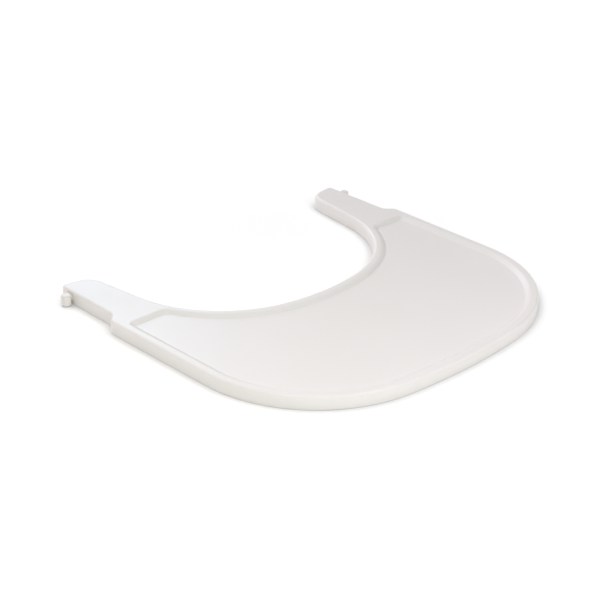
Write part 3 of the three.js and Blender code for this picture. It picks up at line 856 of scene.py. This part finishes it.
def cover_screw(side, name, place, number):
    """Pan-head screw: domed head with a cross recess, and a helical thread."""
    x, y = side * place[0], place[1]
    z0, z1 = SCREW_Z["face"], SCREW_Z["seat"]
    flat, dome = SCREW_DOME["flat"], (z1 - z0) * SCREW_DOME["height"]
    rings = []
    for angle in quarter(SCREW_DOME["steps"]):
        r = SCREW["head"] * (flat + (1 - flat) * math.sin(angle))
        rings.append((circle(x, y, r), z0 + dome * (1 - math.cos(angle))))
    rings.append((circle(x, y, SCREW["head"]), z1))
    screw = loft(f"{name}_screw_{number}", rings)
    boolean(screw, thread(x, y), "UNION")
    reach, half, taper = DRIVE["reach"], DRIVE["half"], DRIVE["taper"]
    for w, d in ((reach, half), (half, reach)):
        mouth = corners(x - w, y - d, x + w, y + d)
        end = corners(x - taper * w, y - taper * d, x + taper * w, y + taper * d)
        boolean(screw, loft("drive", [(mouth, 0), (mouth, z0), (end, z0 + DRIVE["depth"])]))
    return finish_piece(screw, steel, "tray", f"{name}_cover_screw_{number}")


def thread(x, y):
    """Shank whose radius follows a helix, tapering to the tip."""
    sides, pitch = THREAD["sides"], THREAD["pitch"]
    step = pitch / THREAD["steps"]
    start, end = SCREW_Z["seat"] - GAP, SCREW_Z["tip"]
    count = int((end - start) / step)
    rings = []
    for i in range(count + 1):
        z = start + (end - start) * i / count
        taper = min(1, (end - z) / (2 * pitch) + THREAD_TIP)
        points = []
        for j in range(sides):
            angle = 2 * math.pi * j / sides
            phase = (z / pitch - j / sides) % 1
            crest = max(0, 1 - abs(phase - 0.5) * THREAD_SHARPNESS)
            r = (SCREW["core"] + (SCREW["r"] - SCREW["core"]) * crest) * taper
            points.append(Vector((x + r * math.cos(angle), y + r * math.sin(angle))))
        rings.append((points, z))
    return loft("thread", rings)


tray_shell()
for name, side in SIDES:
    arm_cover(side, name)
    latch_slider(side, name)
    latch_spring(side, name)
    release_lever(side, name)
    lever_pin(side, name)
    for number, place in enumerate(SCREW_PLACES, 1):
        cover_screw(side, name, place, number)
    for pad_name, pad in PADS.items():
        grip_pad(side, name, pad_name, pad)


# ---- Floor, light and camera --------------------------------------------------------------
FLOOR_REACH = 6
FLOOR_DROP = 0.2 * MM
FLOOR_ROUGHNESS = 0.9
FLOOR_GLOW = (0.285, 0.29, 0.29)
FLOOR_GLOW_FAR = 0.6
FLOOR_COLOR = (0.8, 0.8, 0.8)
# Painted contact shadow on the floor: how far it reaches, and how much it darkens the floor at most
CONTACT_REACH, CONTACT_SHADE = 12 * MM, 0.57
FLOOR_NEAR, FLOOR_FAR = 0.22, 0.9  # where the glow starts to grow, and where it stops

# Sky in lobes: each shines from one side and falls off with a power of the cosine
SKY_FALLOFF = 2
SKY = {
    "overhead": ("Z", 1, (0.51, 0.58, 0.585)),
    "behind": ("Y", 1, (1.35, 1.0, 0.91)),
    "front": ("Y", -1, (0.36, 0.22, 0.02)),
    "right": ("X", 1, (0.29, 0.27, 0.25)),
}
# Softboxes: place, diameter, power in watts for red, green and blue
SOFTBOXES = {
    "front_left": ((-0.75, -0.5, 0.85), 0.7, (4.68, 4.62, 4.34)),
    "front": ((0.1, -1.0, 0.8), 0.7, (4.38, 4.38, 5.1)),
    "behind_left": ((-0.7, 1.05, 0.95), 0.6, (1.89, 1.85, 1.77)),
    "behind": ((-0.1, 1.3, 0.8), 1.0, (0.83, 0.49, 0.75)),
    "behind_right": ((0.5, 1.4, 0.75), 0.8, (2.63, 3.76, 4.75)),
}


def scaled(tree, color, amount):
    """A colour times a value."""
    node = tree.nodes.new("ShaderNodeVectorMath")
    node.operation = "SCALE"
    node.inputs[0].default_value = color
    tree.links.new(amount, node.inputs["Scale"])
    return node.outputs["Vector"]


def ground_material():
    """Matt white that glows more with the distance, with a painted contact shadow close to what stands on
    it.
    """
    material = bpy.data.materials.new("floor")
    material.use_nodes = True
    tree = material.node_tree
    surface = tree.nodes["Principled BSDF"]
    surface.inputs["Roughness"].default_value = FLOOR_ROUGHNESS
    surface.inputs["Specular IOR Level"].default_value = 0
    # Painted contact shadow: ambient occlusion darkens the floor's colour and glow next to the tray
    contact = tree.nodes.new("ShaderNodeAmbientOcclusion")
    contact.inputs["Distance"].default_value = CONTACT_REACH
    shade = remap(tree, contact.outputs["AO"], 1 - CONTACT_SHADE, 1).outputs["Result"]
    tree.links.new(shade, surface.inputs["Emission Strength"])
    tree.links.new(scaled(tree, FLOOR_COLOR, shade), surface.inputs["Base Color"])
    coords = tree.nodes.new("ShaderNodeTexCoord")
    distance = tree.nodes.new("ShaderNodeVectorMath")
    distance.operation = "LENGTH"
    tree.links.new(coords.outputs["Object"], distance.inputs[0])
    spread = remap(tree, distance.outputs["Value"], 0, 1, FLOOR_NEAR, FLOOR_FAR)
    spread.interpolation_type = "SMOOTHSTEP"
    far = [c + FLOOR_GLOW_FAR for c in FLOOR_GLOW]
    glow = blend(tree, spread.outputs["Result"], FLOOR_GLOW, far)
    tree.links.new(glow, surface.inputs["Emission Color"])
    return material


def floor():
    reach = FLOOR_REACH
    bm = bmesh.new()
    bm.faces.new([bm.verts.new((p.x, p.y, 0)) for p in corners(-reach, -reach, reach, reach)])
    obj = new_object("floor", bm)
    obj.location.z = -FLOOR_DROP
    obj.data.materials.append(ground_material())


def sky():
    """Sum of the lobes as the world's colour."""
    world = bpy.data.worlds.new("sky")
    world.use_nodes = True
    tree = world.node_tree
    nodes, links = tree.nodes, tree.links
    coords = nodes.new("ShaderNodeTexCoord")
    split = nodes.new("ShaderNodeSeparateXYZ")
    links.new(coords.outputs["Generated"], split.inputs["Vector"])
    total = None
    for axis, sign, color in SKY.values():
        toward = nodes.new("ShaderNodeMath")
        toward.operation = "MULTIPLY"
        toward.use_clamp = True
        toward.inputs[1].default_value = sign
        links.new(split.outputs[axis], toward.inputs[0])
        falloff = nodes.new("ShaderNodeMath")
        falloff.operation = "POWER"
        falloff.inputs[1].default_value = SKY_FALLOFF
        links.new(toward.outputs["Value"], falloff.inputs[0])
        lobe = scaled(tree, color, falloff.outputs["Value"])
        if total is None:
            total = lobe
            continue
        joined = nodes.new("ShaderNodeVectorMath")
        joined.operation = "ADD"
        links.new(total, joined.inputs[0])
        links.new(lobe, joined.inputs[1])
        total = joined.outputs["Vector"]
    links.new(total, nodes["Background"].inputs["Color"])
    bpy.context.scene.world = world


def softbox(name, place, size, power):
    """Round area light that faces the origin."""
    data = bpy.data.lights.new(name, "AREA")
    data.shape = "DISK"
    data.size = size
    data.energy = max(power)
    data.color = [p / max(power) for p in power]
    obj = bpy.data.objects.new(name, data)
    obj.location = place
    obj.rotation_euler = (-Vector(place)).to_track_quat("-Z", "Y").to_euler()
    bpy.context.scene.collection.objects.link(obj)


CAMERA_AZIMUTH = math.radians(-43.22)
CAMERA_ELEVATION = math.radians(26.85)
CAMERA_DISTANCE = 1.76067
CAMERA_TARGET = Vector((-0.02063, 0.02304, 0))
CAMERA_LENS = 87.8
CAMERA_SENSOR = 36


def camera():
    data = bpy.data.cameras.new("camera")
    data.lens = CAMERA_LENS
    data.sensor_width = CAMERA_SENSOR
    obj = bpy.data.objects.new("camera", data)
    flat = math.cos(CAMERA_ELEVATION)
    back = Vector((
        math.sin(CAMERA_AZIMUTH) * flat,
        -math.cos(CAMERA_AZIMUTH) * flat,
        math.sin(CAMERA_ELEVATION),
    ))
    obj.location = CAMERA_TARGET + back * CAMERA_DISTANCE
    obj.rotation_euler = (-back).to_track_quat("-Z", "Y").to_euler()
    bpy.context.scene.collection.objects.link(obj)
    bpy.context.scene.camera = obj


floor()
sky()
for name, (place, size, power) in SOFTBOXES.items():
    softbox(name, place, size, power)
camera()
view_settings = bpy.context.scene.view_settings
view_settings.view_transform = "Standard"
view_settings.look = "None"
